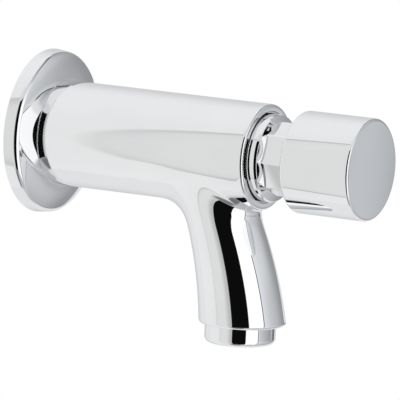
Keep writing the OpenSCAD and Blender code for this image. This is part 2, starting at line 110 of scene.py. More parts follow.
def start_profile(name, corners, place):
    """One point is extruded through the corners (radius, station, rounding) of half a section."""
    bpy.ops.object.select_all(action="DESELECT")
    bpy.ops.mesh.primitive_plane_add(size=MM)
    piece = bpy.context.object
    piece.name = piece.data.name = name
    bpy.ops.object.mode_set(mode="EDIT")
    bpy.ops.mesh.select_mode(type="VERT")
    bpy.ops.mesh.merge(type="CENTER")
    points = [place(radius, station) for radius, station, rounding in corners]
    bpy.ops.transform.translate(value=points[0])
    ends_on_axis = corners[0][0] == corners[-1][0] == 0
    for here, there in zip(points, points[1:] if ends_on_axis else points[1:] + points[:1]):
        bpy.ops.mesh.extrude_vertices_move(TRANSFORM_OT_translate={"value": there - here})
    bpy.ops.mesh.select_all(action="SELECT")
    bpy.ops.mesh.remove_doubles(threshold=SAME_POINT)
    for i, (radius, station, rounding) in enumerate(corners):
        if rounding:
            before = (points[i - 1] - points[i]).normalized()
            after = (points[(i + 1) % len(points)] - points[i]).normalized()
            cut = rounding * MM / math.tan(before.angle(after) / 2)
            pick_points(piece, lambda co: (co - points[i]).length < 0.01 * MM)
            bpy.ops.mesh.bevel(offset=cut, segments=6, profile=0.5, affect="VERTICES")
    return piece


def spin_round(piece, centre, axis, steps=160):
    """Sweeps the drawn profile into a closed skin."""
    bpy.ops.mesh.select_all(action="SELECT")
    bpy.ops.mesh.spin(steps=steps, angle=2 * math.pi, center=centre, axis=axis)
    bpy.ops.mesh.select_all(action="SELECT")
    bpy.ops.mesh.remove_doubles(threshold=SAME_POINT)
    bpy.ops.mesh.normals_make_consistent(inside=False)
    bpy.ops.object.mode_set(mode="OBJECT")
    return piece


def turned_piece(name, corners):
    """A part turned on the tap's own axis."""
    return spin_round(start_profile(name, corners, on_axis), (0, 0, 0), (0, 1, 0))


# %% [markdown]
# Milled sides and holes come from straight bars, joined to a piece or cut out of it by the Boolean
# modifier. Polishing shades the skin smooth up to an angle, and the Weighted Normal modifier keeps
# flat faces flat beside their rounded edges.

# %% Helpers for bars, cuts and polish
def apply_modifier(piece, kind, **settings):
    """Adds a modifier with its settings and applies it at once."""
    bpy.ops.object.select_all(action="DESELECT")
    piece.select_set(True)
    bpy.context.view_layer.objects.active = piece
    bpy.ops.object.modifier_add(type=kind)
    modifier = piece.modifiers[-1]
    for setting, value in settings.items():
        setattr(modifier, setting, value)
    bpy.ops.object.modifier_apply(modifier=modifier.name)


def combine(piece, other, operation):
    """Cuts, joins or intersects a piece with another one, which is then taken away."""
    apply_modifier(piece, "BOOLEAN", operation=operation, object=other)
    bpy.data.objects.remove(other)


def straight_bar(sides, radius, length, middle, turned=(math.pi / 2, 0, 0), ends="NGON"):
    """A bar with so many sides, along the tap's axis unless it is turned another way."""
    bpy.ops.object.select_all(action="DESELECT")
    bpy.ops.mesh.primitive_cylinder_add(
        vertices=sides, radius=radius * MM, depth=length * MM, end_fill_type=ends,
        location=[value * MM for value in middle], rotation=turned)
    bpy.ops.object.transform_apply(location=True, rotation=True, scale=True)
    return bpy.context.object


def polish(piece, sharp_over=32):
    """Smooth shading, but for edges that turn by more than so many degrees."""
    bpy.ops.object.select_all(action="DESELECT")
    piece.select_set(True)
    bpy.context.view_layer.objects.active = piece
    bpy.ops.object.shade_smooth_by_angle(angle=math.radians(sharp_over))
    apply_modifier(piece, "WEIGHTED_NORMAL", keep_sharp=True, weight=60)
    print(piece.name, "faces", len(piece.data.polygons))


# %% [markdown]
# ## Wall rose
# The rose is a spun dish that hides the hole in the wall. It is flat under the tube's end, then one
# wide arc leads into the smaller arc of the edge, and the rim leans in a little. The sheet's inner
# skin has the same two middles, with both arcs drawn in by the sheet's thickness.

# %% Wall rose
ROSE_BACK, ROSE_RIM, ROSE_ROUND, ROSE_TOP, ROSE_SHEET = 28.2, 3.6, 2.3, 7.3, 1.5
ROSE_LEAN = math.radians(7)
TUBE_R = 18.0
ROSE_HOLE, BACK_ROUND = 11.0775, 0.15
CROWN_FLAT = TUBE_R - 1
edge_mid = Vector((ROSE_BACK - ROSE_RIM * math.tan(ROSE_LEAN) - ROSE_ROUND * math.cos(ROSE_LEAN),
                   ROSE_RIM - ROSE_ROUND * math.sin(ROSE_LEAN)))
crown_out, crown_up = edge_mid.x - CROWN_FLAT, ROSE_TOP - edge_mid.y
crown_r = (crown_out ** 2 + crown_up ** 2 - ROSE_ROUND ** 2) / (2 * (crown_up - ROSE_ROUND))
crown_mid = Vector((CROWN_FLAT, ROSE_TOP - crown_r))
meet = math.asin(crown_out / (crown_r - ROSE_ROUND))


def arc(middle, radius, start, end, steps):
    """Corners along an arc, with its angles counted from the axis."""
    angles = [start + (end - start) * i / steps for i in range(steps + 1)]
    return [(middle.x + radius * math.sin(a), middle.y + radius * math.cos(a), 0) for a in angles]


def rose_face(drawn_in):
    """From the rim's end over the edge and the crown to the flat."""
    return (arc(edge_mid, ROSE_ROUND - drawn_in, math.pi / 2 - ROSE_LEAN, meet, steps=14)
            + arc(crown_mid, crown_r - drawn_in, meet, 0, steps=20)[1:])


inner_face = rose_face(ROSE_SHEET)
inner_back = inner_face[0][0] + inner_face[0][1] * math.tan(ROSE_LEAN)
rose_corners = [(ROSE_BACK, 0, BACK_ROUND)] + rose_face(0)
rose_corners += [(ROSE_HOLE, ROSE_TOP, 0), (ROSE_HOLE, ROSE_TOP - ROSE_SHEET, 0)]
rose_corners += inner_face[::-1] + [(inner_back, 0, BACK_ROUND)]
rose = turned_piece("rose_dish", rose_corners)
polish(rose)

# %% [markdown]
# ## Body: the tube with its spout
# The body is one casting: a tube, and a spout that grows out of its underside in a soft blend. A
# boolean would leave a hard line in the chrome, so the skin is made in one piece. Part of the
# tube's underside is taken out, and the edge of that opening is extruded ring by ring: over the
# tube to where the blend starts, down the blend, down the spout and round its lip.

# %% Tube with an opening in its underside
TUBE_REAR, TUBE_FRONT = 7.3, 87.4
TUBE_SIDES = 128
OPENING_SIDES = 27
OPENING_REAR, OPENING_FRONT, OPENING_ROWS = 44.0, 86.2, 32
REAR_STATIONS = [8.2, 20, 32, 40]
ANGLE_PER_MM, EDGE_MARGIN = 0.02, 0.05
opening_angle = 2 * math.pi / TUBE_SIDES * OPENING_SIDES
row_gap = (OPENING_FRONT - OPENING_REAR) / OPENING_ROWS
body = straight_bar(TUBE_SIDES, TUBE_R, TUBE_FRONT - TUBE_REAR,
                    (0, -(TUBE_FRONT + TUBE_REAR) / 2, 0), ends="NOTHING")
body.name = body.data.name = "body_casting"
bpy.ops.object.mode_set(mode="EDIT")
stations = REAR_STATIONS + [OPENING_REAR + row_gap * i for i in range(OPENING_ROWS + 1)]
for station in stations:
    bpy.ops.mesh.select_all(action="SELECT")
    bpy.ops.mesh.bisect(plane_co=(0, -station * MM, 0), plane_no=(0, 1, 0))


def around_tube(co):
    """Angle of a point round the tube from straight below, and its station."""
    return math.atan2(co.x, -co.z), -co.y / MM


def inside_opening(co, margin):
    """Whether a point lies in the opening, made wider by a margin in millimetres."""
    angle, station = around_tube(co)
    return (abs(angle) < opening_angle + margin * ANGLE_PER_MM
            and OPENING_REAR - margin < station < OPENING_FRONT + margin)


pick_points(body, lambda co: inside_opening(co, EDGE_MARGIN))
bpy.ops.mesh.select_mode(type="FACE")
bpy.ops.mesh.delete(type="FACE")
print("tube rings", len(stations) + 2, "sides", TUBE_SIDES)

# %% [markdown]
# Each place on the spout is found from two numbers, the angle round the spout and the height. The
# spout's middle line leans and bows forward, its radius grows towards the lip, and the blend is a
# curve that leaves the spout's wall and lands flat on the tube. These are the solids' own rules.

# %% Shape of the spout
ROOT_S, LIP_FORWARD, SPOUT_BOW = 69.4, 10.9, 1.6
ROOT_R, LIP_R, LIP_ROUND = 12.65, 14.9, 1.3
LIP_Z = -57.5
LIP_S = ROOT_S + LIP_FORWARD
BLEND_REAR, BLEND_SIDE, BLEND_FRONT = 9.0, 3.4, 3.9
BLEND_DROP, SMALL_STEP = 9.5, 0.01


def spout_wall(a, z):
    """A point of the spout's wall at an angle, 0 to the front, and a height."""
    down = (-TUBE_R - z) / (-TUBE_R - LIP_Z)
    middle = ROOT_S + LIP_FORWARD * down + 4 * SPOUT_BOW * down * (1 - down)
    radius = ROOT_R + (LIP_R - ROOT_R) * down
    return Vector((radius * math.sin(a), -(middle + radius * math.cos(a)), z))


def blend_reach(a):
    """How far the blend reaches on the tube, softly changing from the wall side to the front."""
    rear, front = max(0, -math.cos(a)) ** 2, max(0, math.cos(a)) ** 2
    return BLEND_SIDE + (BLEND_REAR - BLEND_SIDE) * rear + (BLEND_FRONT - BLEND_SIDE) * front


def landing(a):
    """Where the blend lands on the tube: the angle round the tube, and the station."""
    radius = ROOT_R + blend_reach(a)
    return math.asin(radius * math.sin(a) / TUBE_R), ROOT_S + radius * math.cos(a)


def on_tube(angle, station):
    """A point of the tube's skin."""
    return Vector((TUBE_R * math.sin(angle), -station, -TUBE_R * math.cos(angle)))


def leave_z(a):
    """The height at which the blend leaves the spout's wall."""
    side = ROOT_R * math.sin(a)
    return -math.sqrt(TUBE_R ** 2 - side ** 2) - BLEND_DROP


def blend_point(a, t):
    """Curve from the spout's wall (t = 0) to the tube (t = 1), flat on both."""
    z = leave_z(a)
    low, top = spout_wall(a, z), on_tube(*landing(a))
    along = (spout_wall(a, z + SMALL_STEP) - spout_wall(a, z - SMALL_STEP)) / (2 * SMALL_STEP)
    reach = (TUBE_R ** 2 - low.x * top.x - low.z * top.z) / (along.x * top.x + along.z * top.z)
    knee = low + along * reach
    return low * (1 - t) ** 2 + knee * 2 * t * (1 - t) + top * t ** 2


print("blend leaves the wall at", round(leave_z(0), 2), "in front,",
      round(leave_z(math.pi), 2), "behind")

# %% [markdown]
# Every point on the opening's edge has its own angle round the spout. Each extrusion makes a new
# ring of the same points, and the angle tells where each point goes next, so the rings follow one
# another without a twist. The last two rings turn inside the lip and make the outlet's bore.

# %% Extrude the spout ring by ring
def next_ring(piece, angles, place):
    """Extrudes the selected loop and puts each new point where its angle says."""
    bpy.ops.mesh.extrude_edges_move()
    bpy.ops.object.mode_set(mode="OBJECT")
    moved = {}
    for vertex in piece.data.vertices:
        if vertex.select:
            a = angles[tuple(vertex.co)]
            vertex.co = place(a) * MM
            moved[tuple(vertex.co)] = a
    bpy.ops.object.mode_set(mode="EDIT")
    return moved


def on_opening_edge(co):
    """Whether a point lies on the opening's own edge."""
    return inside_opening(co, EDGE_MARGIN) and not inside_opening(co, -EDGE_MARGIN)


pick_points(body, on_opening_edge)
bpy.ops.object.mode_set(mode="OBJECT")
ring, opening_edge = {}, {}
for vertex in body.data.vertices:
    if vertex.select:
        angle, station = around_tube(vertex.co)
        a = math.atan2(TUBE_R * math.sin(angle), station - ROOT_S)
        ring[tuple(vertex.co)] = a
        opening_edge[a] = (angle, station)
bpy.ops.object.mode_set(mode="EDIT")


def over_tube(a, share):
    """Between the opening's edge and the landing, along the tube's own skin."""
    (angle0, station0), (angle1, station1) = opening_edge[a], landing(a)
    return on_tube(angle0 + (angle1 - angle0) * share, station0 + (station1 - station0) * share)


def down_wall(a, share):
    """From the blend down the spout's wall to the lip."""
    top = leave_z(a)
    return spout_wall(a, top + (LIP_Z + LIP_ROUND - top) * share)


def round_lip(a, share):
    """Round the lip's edge, from the wall to its flat underside."""
    turn = math.pi / 2 * share
    radius = LIP_R - LIP_ROUND * (1 - math.cos(turn))
    return Vector((radius * math.sin(a), -(LIP_S + radius * math.cos(a)),
                   LIP_Z + LIP_ROUND * (1 - math.sin(turn))))


OUTLET_R, OUTLET_S, OUTLET_TOP = 11.0, 79.6, -48.95


def outlet_bore(a, z):
    """A point of the bore that takes the aerator."""
    return Vector((OUTLET_R * math.sin(a), -(OUTLET_S + OUTLET_R * math.cos(a)), z))


TUBE_RINGS, BLEND_RINGS, WALL_RINGS, LIP_RINGS = 4, 14, 26, 6
shapes = [lambda a, k=k: over_tube(a, k / TUBE_RINGS) for k in range(1, TUBE_RINGS + 1)]
shapes += [lambda a, k=k: blend_point(a, 1 - k / BLEND_RINGS) for k in range(1, BLEND_RINGS + 1)]
shapes += [lambda a, k=k: down_wall(a, k / WALL_RINGS) for k in range(1, WALL_RINGS + 1)]
shapes += [lambda a, k=k: round_lip(a, k / LIP_RINGS) for k in range(1, LIP_RINGS + 1)]
shapes += [lambda a, z=z: outlet_bore(a, z) for z in (LIP_Z, OUTLET_TOP)]
for shape in shapes:
    ring = next_ring(body, ring, shape)
bpy.ops.mesh.edge_face_add()
print("spout rings", len(shapes), "points each", len(ring))

# %% [markdown]
# The front of the tube has a ring with a recess, where the bonnet's collar sits. The loop at the
# front end is extruded inwards and back through the chamber to the rear end, which closes the
# casting. The two edges of the front ring and the rear edge are then rounded.

# %% Front ring, chamber and rear end
RECESS_R = 15.5
BORES = [(RECESS_R, TUBE_FRONT), (RECESS_R, 85.5), (14, 85.5), (14, 74), (13, 74), (13, 34),
         (8.2, 34), (8.2, 18.25), (10.4775, 18.25), (10.4775, TUBE_REAR), (TUBE_R, TUBE_REAR)]
ROUNDED_EDGES = [(TUBE_R, TUBE_FRONT, 1.1), (RECESS_R, TUBE_FRONT, 0.3), (TUBE_R, TUBE_REAR, 0.25)]
NEAR = 0.02 * MM


def on_ring(co, radius, station):
    """Whether a point lies on a ring of that radius at that station."""
    return abs(math.hypot(co.x, co.z) - radius * MM) < NEAR and abs(co.y + station * MM) < NEAR


pick_points(body, lambda co: on_ring(co, TUBE_R, TUBE_FRONT))
at_radius, at_station = TUBE_R, TUBE_FRONT
for radius, station in BORES:
    bpy.ops.mesh.extrude_edges_move()
    grow = radius / at_radius
    bpy.ops.transform.resize(value=(grow, 1, grow), center_override=(0, -at_station * MM, 0))
    bpy.ops.transform.translate(value=(0, (at_station - station) * MM, 0))
    at_radius, at_station = radius, station
bpy.ops.mesh.select_all(action="SELECT")
bpy.ops.mesh.remove_doubles(threshold=0.002 * MM)
bpy.ops.mesh.normals_make_consistent(inside=False)
for radius, station, rounding in ROUNDED_EDGES:
    pick_points(body, lambda co: on_ring(co, radius, station))
    bpy.ops.mesh.bevel(offset=rounding * MM, segments=5, profile=0.5, affect="EDGES")
bpy.ops.object.mode_set(mode="OBJECT")
print("casting points", len(body.data.vertices))

# %% [markdown]
# Water runs from the chamber down to the outlet through one slanting hole. A cylinder stands in for
# the drill, and it starts a little below the bore's end so that no thin skin is left there.

# %% Waterway through the spout
WATERWAY_R, WATERWAY_SIDES, DRILL_PAST = 7.5, 64, 3.5
way_low, way_top = Vector((0, -OUTLET_S, OUTLET_TOP)), Vector((0, -(ROOT_S - 2), -6.5))
way = (way_top - way_low).normalized()
way_low = way_low - way * DRILL_PAST
drill = straight_bar(WATERWAY_SIDES, WATERWAY_R, (way_top - way_low).length,
                     (way_low + way_top) / 2, turned=way.to_track_quat("Z", "Y").to_euler())
combine(body, drill, "DIFFERENCE")
polish(body)

# %% [markdown]
# ## Bonnet
# The bonnet screws into the tube's front. A turned collar with a bevelled edge shows, and in front
# of it eight flats for the spanner. Real flats are milled on a turned bar whose front end is
# bevelled, which leaves arcs on the flats, so the prism is intersected with such a bar.

# %% Octagon of the bonnet
FLATS, FLATS_ACROSS = 8, 23.5
COLLAR_FRONT, FLATS_FRONT, NOSE_FRONT = 91.0, 103.0, 105.5
BAR_R, BAR_REAR = 12.82, 90
OCTAGON_LENGTH, OCTAGON_MIDDLE, OCTAGON_ROUND = 16, 96.5, 0.5
cone = turned_piece("octagon_bar", [
    (0, BAR_REAR, 0), (BAR_R, BAR_REAR, 0), (BAR_R, 101.7, 0), (11.55, FLATS_FRONT, 0),
    (0, FLATS_FRONT, 0)])
octagon = straight_bar(FLATS, FLATS_ACROSS / 2 / math.cos(math.pi / FLATS), OCTAGON_LENGTH,
                       (0, -OCTAGON_MIDDLE, 0))
corner_angles = sorted({round(math.degrees(math.atan2(v.co.z, v.co.x)))
                        for v in octagon.data.vertices})
print("octagon corners at", corner_angles)
bpy.ops.object.mode_set(mode="EDIT")
bpy.ops.mesh.select_mode(type="EDGE")
bpy.ops.mesh.select_all(action="DESELECT")
bpy.ops.object.mode_set(mode="OBJECT")
for edge in octagon.data.edges:
    ends = [octagon.data.vertices[i].co for i in edge.vertices]
    edge.select = abs(ends[0].y - ends[1].y) > OCTAGON_LENGTH / 2 * MM
bpy.ops.object.mode_set(mode="EDIT")
bpy.ops.mesh.bevel(offset=OCTAGON_ROUND * MM, segments=5, profile=0.5, affect="EDGES")
bpy.ops.object.mode_set(mode="OBJECT")
combine(octagon, cone, "INTERSECT")

# %% [markdown]
# The thread's bar, the collar and the nose are turned in one and joined to the octagon. The bore is
# then cut out: the timing cylinder, the stem's hole and the gland with the groove for its clip.

# %% Collar and bore of the bonnet
bonnet = turned_piece("bonnet_collar", [
    (0, 74, 0), (13.95, 74, 0.3), (13.95, 85.5, 0), (13.35, 85.5, 0), (13.35, 87.15, 0),
    (15, 87.15, 0.2), (15, 90.1, 0.3), (14.55, COLLAR_FRONT, 0.3), (11.3, COLLAR_FRONT + 0.87, 0),
    (11.3, 102.9, 0), (9, 102.9, 0), (9, NOSE_FRONT, 0.3), (0, NOSE_FRONT, 0)])
combine(bonnet, octagon, "UNION")
bore = turned_piece("bonnet_bore", [
    (0, 73, 0), (9.5, 73, 0), (9.5, 96.5, 0), (4.3, 96.5, 0), (4.3, 98, 0), (6.5, 98, 0),
    (6.5, 104.2, 0), (7.1, 104.2, 0), (7.1, 105.1, 0), (6.5, 105.1, 0), (6.5, 107, 0), (0, 107, 0)])
combine(bonnet, bore, "DIFFERENCE")
polish(bonnet, sharp_over=24)

# %% [markdown]
# ## Push button
# The button is a deep turned cap. Its face is plain and very slightly crowned, as a polished face
# comes off the wheel, and its front edge has a soft rounding that catches a bright line.

# %% Push button
button = turned_piece("button_cap", [
    (0, 127.1, 0), (8, 127.09, 0), (17.3, 127.05, 1), (17.3, 101.1, 0.8), (15.5, 101.1, 0.25),
    (15.5, 124.3, 0.8), (6.5, 124.3, 0.4), (6.5, 117.55, 0.2), (3, 117.55, 0), (3, 123.1, 0),
    (0, 123.1, 0)])
polish(button)

# %% [markdown]
# ## Aerator
# A screwed shell holds the aerator in the spout. It is turned on its own upright axis under the
# lip, with a rounded lower edge and a ledge that carries the moulded diffuser.

# %% Aerator shell
def under_spout(radius, height):
    """A point of a part turned on the outlet's upright axis."""
    return Vector((radius, -OUTLET_S, height)) * MM


aerator = start_profile("aerator_collar", [
    (8.8, -64, 0.25), (12.1, -64, 1.9), (12.1, -57.5, 0.2), (10.95, -57.5, 0), (10.95, -50.5, 0.3),
    (9.7, -50.5, 0), (9.7, -63, 0), (8.8, -63, 0)], under_spout)
spin_round(aerator, (0, -OUTLET_S * MM, 0), (0, 0, 1), steps=128)
polish(aerator)

# %% [markdown]
# ## Inlet nipple with its thread
# The nipple is turned, then threaded. A thread is a groove that winds round, so a dense turned skin
# is pressed in along a helix: how deep depends on the station and on the angle round the axis.

# %% Threaded nipple
PITCH, THREAD_DEPTH, THREAD_R = 1.814, 1.16, 10.4775
THREAD_END, THREAD_ROW = 1.5, 0.12
NIPPLE_END, NIPPLE_EDGE = -10.0, 1
THREAD_ROOT, FLANK_GAIN, CREST_FLAT, END_SLACK = 9.3, 1.15, 0.075, 0.01
SOCKET_SIDES, SOCKET_ACROSS, SOCKET_LENGTH, SOCKET_IN = 6, 12, 10, 3
row_count = int((THREAD_END - NIPPLE_END - NIPPLE_EDGE) / THREAD_ROW)
thread_rows = [(THREAD_R, NIPPLE_END + NIPPLE_EDGE + i * THREAD_ROW, 0) for i in range(row_count)]
nipple = turned_piece("threaded_nipple", [
    (6, NIPPLE_END, 0), (9.4775, NIPPLE_END, 0)] + thread_rows + [
    (THREAD_R, THREAD_END, 0), (9.2775, THREAD_END, 0), (9.2775, 4.1, 0), (10.4275, 4.1, 0.2),
    (10.4275, 16.75, 0.3), (8, 16.75, 0), (8, 13.75, 0), (6, 13.75, 0)])
for vertex in nipple.data.vertices:
    station, radius = -vertex.co.y / MM, math.hypot(vertex.co.x, vertex.co.z) / MM
    if radius > THREAD_ROOT and station < THREAD_END + END_SLACK:
        phase = (station / PITCH - math.atan2(vertex.co.z, vertex.co.x) / (2 * math.pi)) % 1
        press = min(1, max(0, FLANK_GAIN * (1 - abs(2 * phase - 1)) - CREST_FLAT))
        wanted = min(radius, THREAD_R - THREAD_DEPTH * press)
        vertex.co.x *= wanted / radius
        vertex.co.z *= wanted / radius
key_socket = straight_bar(
    SOCKET_SIDES, SOCKET_ACROSS / 2 / math.cos(math.pi / SOCKET_SIDES), SOCKET_LENGTH,
    (0, -NIPPLE_END - SOCKET_IN, 0))
combine(nipple, key_socket, "DIFFERENCE")
polish(nipple, sharp_over=40)

# %% [markdown]
# ## Strainer
# At the front end of the nipple's bore sits a woven strainer. A grid is cut to a disc, its points
# are lifted and lowered in turn like over-and-under wires, and the Wireframe modifier gives the
# wires their body.

# %% Strainer mesh
WEAVE_CELLS, STRAINER_R, STRAINER_S = 24, 6.85, 14.85
WEAVE_LIFT, WEAVE_WIRE = 0.06, 0.2
bpy.ops.object.select_all(action="DESELECT")
bpy.ops.mesh.primitive_grid_add(
    x_subdivisions=WEAVE_CELLS, y_subdivisions=WEAVE_CELLS, size=2 * STRAINER_R * MM,
    location=(0, -STRAINER_S * MM, 0), rotation=(math.pi / 2, 0, 0))
bpy.ops.object.transform_apply(location=True, rotation=True, scale=True)
strainer = bpy.context.object
strainer.name = strainer.data.name = "strainer_weave"
cell = 2 * STRAINER_R * MM / WEAVE_CELLS
for vertex in strainer.data.vertices:
    column, row = round(vertex.co.x / cell), round(vertex.co.z / cell)
    vertex.co.y += WEAVE_LIFT * MM * (1 if (column + row) % 2 else -1)
bpy.ops.object.mode_set(mode="EDIT")
pick_points(strainer, lambda co: math.hypot(co.x, co.z) > STRAINER_R * MM)
bpy.ops.mesh.delete(type="VERT")
bpy.ops.object.mode_set(mode="OBJECT")
apply_modifier(strainer, "WIREFRAME", thickness=WEAVE_WIRE * MM, use_even_offset=False)
print(strainer.name, "faces", len(strainer.data.polygons))

# %% [markdown]
# ## Return spring
# The spring is a wire wound nine times, with one close turn at each end. A curve is drawn through
# its turns, given the wire's thickness, and made a mesh, because the spring shortens with the push.

# %% Return spring
WIRE_R, COIL_R, TURNS, COIL_LOW, COIL_HIGH = 0.7, 7.3, 9, 40.05, 85.65
CLOSE_PITCH, POINTS_PER_TURN = 2.0, 32
live_pitch = (COIL_HIGH - COIL_LOW - 2 * WIRE_R - 2 * CLOSE_PITCH) / (TURNS - 2)


def coil_station(turn):
    """How far from the wall the wire is after so many turns."""
    close_end = max(0, turn - (TURNS - 1))
    live = min(max(turn - 1, 0), TURNS - 2)
    return COIL_LOW + WIRE_R + CLOSE_PITCH * (min(turn, 1) + close_end) + live_pitch * live


bpy.ops.object.select_all(action="DESELECT")
bpy.ops.curve.primitive_bezier_curve_add()
spring = bpy.context.object
spring.name = "coil_spring"
wire = spring.data
wire.splines.clear()
line = wire.splines.new("POLY")
wire_points = [k / POINTS_PER_TURN for k in range(POINTS_PER_TURN * TURNS + 1)]
line.points.add(len(wire_points) - 1)
for point, turn in zip(line.points, wire_points):
    angle = 2 * math.pi * turn
    place = Vector((COIL_R * math.cos(angle), -coil_station(turn), COIL_R * math.sin(angle))) * MM
    point.co = (*place, 1)
wire.dimensions = "3D"
wire.bevel_depth = WIRE_R * MM
wire.bevel_resolution = 3
wire.use_fill_caps = True
bpy.ops.object.convert(target="MESH")
spring = bpy.context.object
bpy.ops.object.shade_smooth()
print(spring.name, "faces", len(spring.data.polygons))

# %% [markdown]
# ## Finishes
# Each finish is a Principled shader with patterns read from Object coordinates. One pattern sets
# both the colour and the roughness, and one raises a fine relief by Bump.

# %% Helpers for a finish
def new_finish(name, metallic):
    """A material, its shader and the node that tells where on the piece a point lies."""
    finish = bpy.data.materials.new(name)
    finish.use_nodes = True
    shader = finish.node_tree.nodes["Principled BSDF"]
    shader.inputs["Metallic"].default_value = metallic
    place = finish.node_tree.nodes.new("ShaderNodeTexCoord")
    return finish, shader, place


def pattern(finish, place, kind, scale, **settings):
    """A texture node that reads the piece's own place."""
    node = finish.node_tree.nodes.new(kind)
    finish.node_tree.links.new(place.outputs["Object"], node.inputs["Vector"])
    node.inputs["Scale"].default_value = scale
    for socket, value in settings.items():
        node.inputs[socket].default_value = value
    return node


def ramp(finish, source, low, high, start=0.3, end=0.7):
    """Two colours spread over a pattern."""
    node = finish.node_tree.nodes.new("ShaderNodeValToRGB")
    node.color_ramp.elements[0].position, node.color_ramp.elements[1].position = start, end
    node.color_ramp.elements[0].color, node.color_ramp.elements[1].color = (*low, 1), (*high, 1)
    finish.node_tree.links.new(source, node.inputs["Fac"])
    return node.outputs["Color"]


def spread(finish, source, low, high):
    """A pattern's value brought into a range."""
    node = finish.node_tree.nodes.new("ShaderNodeMapRange")
    node.inputs["To Min"].default_value, node.inputs["To Max"].default_value = low, high
    finish.node_tree.links.new(source, node.inputs["Value"])
    return node.outputs["Result"]


def paint(finish, shader, source, colours, roughness):
    """Spreads two colours and a range of roughness over one pattern."""
    link = finish.node_tree.links.new
    link(ramp(finish, source, *colours), shader.inputs["Base Color"])
    link(spread(finish, source, *roughness), shader.inputs["Roughness"])


def bump(finish, shader, source, strength, distance):
    """A fine relief that only the light sees."""
    node = finish.node_tree.nodes.new("ShaderNodeBump")
    node.inputs["Strength"].default_value = strength
    node.inputs["Distance"].default_value = distance
    finish.node_tree.links.new(source, node.inputs["Height"])
    finish.node_tree.links.new(node.outputs["Normal"], shader.inputs["Normal"])


# %% [markdown]
# Chrome is a mirror with the faintest waviness from polishing and a little haze where hands and
# water have been.

# %% Chrome
chrome, shader, place = new_finish("polished_chrome", 1)
haze = pattern(chrome, place, "ShaderNodeTexNoise", 55, Detail=5, Roughness=0.6)
waves = pattern(chrome, place, "ShaderNodeTexNoise", 90, Detail=1)
paint(chrome, shader, haze.outputs["Fac"],
      colours=((0.885, 0.89, 0.9), (0.915, 0.92, 0.925)), roughness=(0.015, 0.05))
bump(chrome, shader, waves.outputs["Fac"], 0.05, 0.02 * MM)
print(chrome.name)

# %% [markdown]
# Inside are brass with fine lines from the lathe, bright drawn steel, rubber with a dull bloom and
# two moulded plastics, one white and one grey.

# %% Brass, steel, rubber and plastics
brass, shader, place = new_finish("machined_brass", 1)
tarnish = pattern(brass, place, "ShaderNodeTexNoise", 140, Detail=6, Roughness=0.65)
turning = pattern(brass, place, "ShaderNodeTexWave", 900, Distortion=0.6, Detail=2)
turning.bands_direction = "Y"
paint(brass, shader, tarnish.outputs["Fac"],
      colours=((0.55, 0.38, 0.15), (0.83, 0.64, 0.32)), roughness=(0.38, 0.2))
bump(brass, shader, turning.outputs["Fac"], 0.12, 0.05 * MM)

steel, shader, place = new_finish("drawn_steel", 1)
grain = pattern(steel, place, "ShaderNodeTexNoise", 400, Detail=4, Roughness=0.6)
paint(steel, shader, grain.outputs["Fac"],
      colours=((0.5, 0.51, 0.53), (0.7, 0.71, 0.72)), roughness=(0.2, 0.36))
bump(steel, shader, grain.outputs["Fac"], 0.08, 0.03 * MM)

rubber, shader, place = new_finish("black_rubber", 0)
bloom = pattern(rubber, place, "ShaderNodeTexNoise", 300, Detail=6, Roughness=0.7)
paint(rubber, shader, bloom.outputs["Fac"],
      colours=((0.012, 0.012, 0.013), (0.035, 0.035, 0.037)), roughness=(0.45, 0.7))
bump(rubber, shader, bloom.outputs["Fac"], 0.15, 0.05 * MM)


def moulded_plastic(name, low, high):
    """A plastic with the fine grain of its mould."""
    finish, shader, place = new_finish(name, 0)
    tone = pattern(finish, place, "ShaderNodeTexNoise", 180, Detail=3)
    spark = pattern(finish, place, "ShaderNodeTexNoise", 2200, Detail=2)
    paint(finish, shader, tone.outputs["Fac"], colours=(low, high), roughness=(0.38, 0.52))
    bump(finish, shader, spark.outputs["Fac"], 0.12, 0.02 * MM)
    return finish


white_plastic = moulded_plastic("white_acetal", (0.78, 0.78, 0.75), (0.86, 0.86, 0.83))
grey_plastic = moulded_plastic("grey_nylon", (0.26, 0.28, 0.31), (0.34, 0.36, 0.39))
finishes = {"chrome": chrome, "brass": brass, "steel": steel, "rubber": rubber,
            "white_plastic": white_plastic, "grey_plastic": grey_plastic}
print("finishes", sorted(finishes))

# %% [markdown]
# ## Put the pieces on the tap
# Each new piece rides on the body that it belongs to, stands for one solid, and takes that solid's
# material slot. The solids that stay get the finish of their own slot. The spring rides on the tap
# and has a mesh of its own.

# %% Ride, replace and finish
slot_of = {row["node"]: row["material_slot"] for row in frame["record"]["subparts"]}
for node_name, node in frame["nodes"].items():
    for material_slot in node.material_slots:
        material_slot.material = finishes[slot_of[node_name]]

stands_for = [(body, "tap_body", "tap"), (rose, "wall_rose", "tap"), (bonnet, "bonnet", "tap"),
              (aerator, "aerator_shell", "tap"), (nipple, "inlet_nipple", "tap"),
              (strainer, "strainer_mesh", "tap"), (spring, "return_spring", "tap"),
              (button, "push_button", "push_assembly")]
for piece, node_name, body_name in stands_for:
    piece.data.materials.clear()
    piece.data.materials.append(finishes[slot_of[node_name]])
    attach(piece, body_name)
    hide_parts(node_name)
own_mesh(spring)
print("pieces", len(stands_for))

# %% [markdown]
# ## Studio
# Chrome has no colour of its own: it shows the room. The room here is a pale studio with a soft
# white box to the right of the camera, a black flag behind the camera, and a grey side beyond. The
# world paints it by direction: `turn` is the angle round the tap, 0 to its front and growing to the
# right, and `rise` is the angle above the level, both in degrees.

# %% World and its helpers
world = bpy.data.worlds.new("studio")
bpy.context.scene.world = world
world.use_nodes = True
tree = world.node_tree
tree.nodes.clear()
MIX_FACTOR, MIX_LOW, MIX_HIGH, MIX_RESULT = 0, 6, 7, 2
GREY_TINT = (0.98, 1.0, 1.035)


